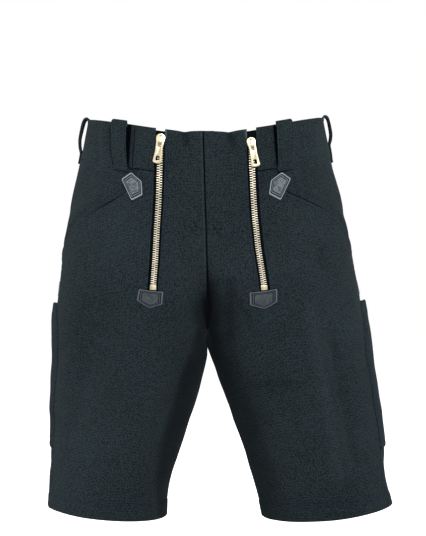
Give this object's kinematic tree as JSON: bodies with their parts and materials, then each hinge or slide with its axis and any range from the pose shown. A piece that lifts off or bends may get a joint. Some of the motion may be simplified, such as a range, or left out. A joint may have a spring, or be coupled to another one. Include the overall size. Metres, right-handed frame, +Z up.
{
  "type": "moleskin shorts",
  "caption": "Knee-length work shorts in heavy moleskin with a fall front closed by two upright zips, leather patches, slanted pockets, belt loops and ruler pockets; hollow, as if worn.",
  "frame": {"origin": "middle of the waist opening, level with its top edge at the wearer's left side", "axes": "+Z up out of the waist, -Y the way the front faces, +X toward the wearer's left"},
  "size_m": [0.4971, 0.2588, 0.5745],
  "materials": {
    "moleskin": "dark slate moleskin with a fine matt nap",
    "leather": "grey leather, matt, with stitched rims",
    "brass": "pale polished brass",
    "zip_tape": "black woven zip tape"
  },
  "bodies": {
    "shorts": {"belt_loop_back": "moleskin", "front_panel_right": "moleskin", "back_panel_right": "moleskin", "waistband_right": "moleskin", "waistband_end_right": "moleskin", "pocket_facing_right": "moleskin", "ruler_pocket_right": "moleskin", "belt_loop_front_right": "moleskin", "belt_loop_side_right": "moleskin", "zip_tape_right": "zip_tape", "pocket_patch_right": "leather", "zip_end_patch_right": "leather", "side_patch_right": "leather", "zip_teeth_right": "brass", "zip_slider_right": "brass", "front_panel_left": "moleskin", "back_panel_left": "moleskin", "waistband_left": "moleskin", "waistband_end_left": "moleskin", "pocket_facing_left": "moleskin", "ruler_pocket_left": "moleskin", "belt_loop_front_left": "moleskin", "belt_loop_side_left": "moleskin", "zip_tape_left": "zip_tape", "pocket_patch_left": "leather", "zip_end_patch_left": "leather", "side_patch_left": "leather", "zip_teeth_left": "brass", "zip_slider_left": "brass"},
    "pull_right": {"zip_pull_right": "brass"},
    "pull_left": {"zip_pull_left": "brass"}
  },
  "joints": [
    {"name": "pull_right_hinge", "type": "hinge", "parent": "shorts", "child": "pull_right", "pos_m": [-0.0633, -0.11024, -0.04243], "axis": [-0.9897, 0.0585, 0.1306], "range_deg": [0, 140]},
    {"name": "pull_left_hinge", "type": "hinge", "parent": "shorts", "child": "pull_left", "pos_m": [0.06394, -0.11096, -0.04745], "axis": [-0.9827, -0.0619, -0.1746], "range_deg": [0, 140]}
  ]
}
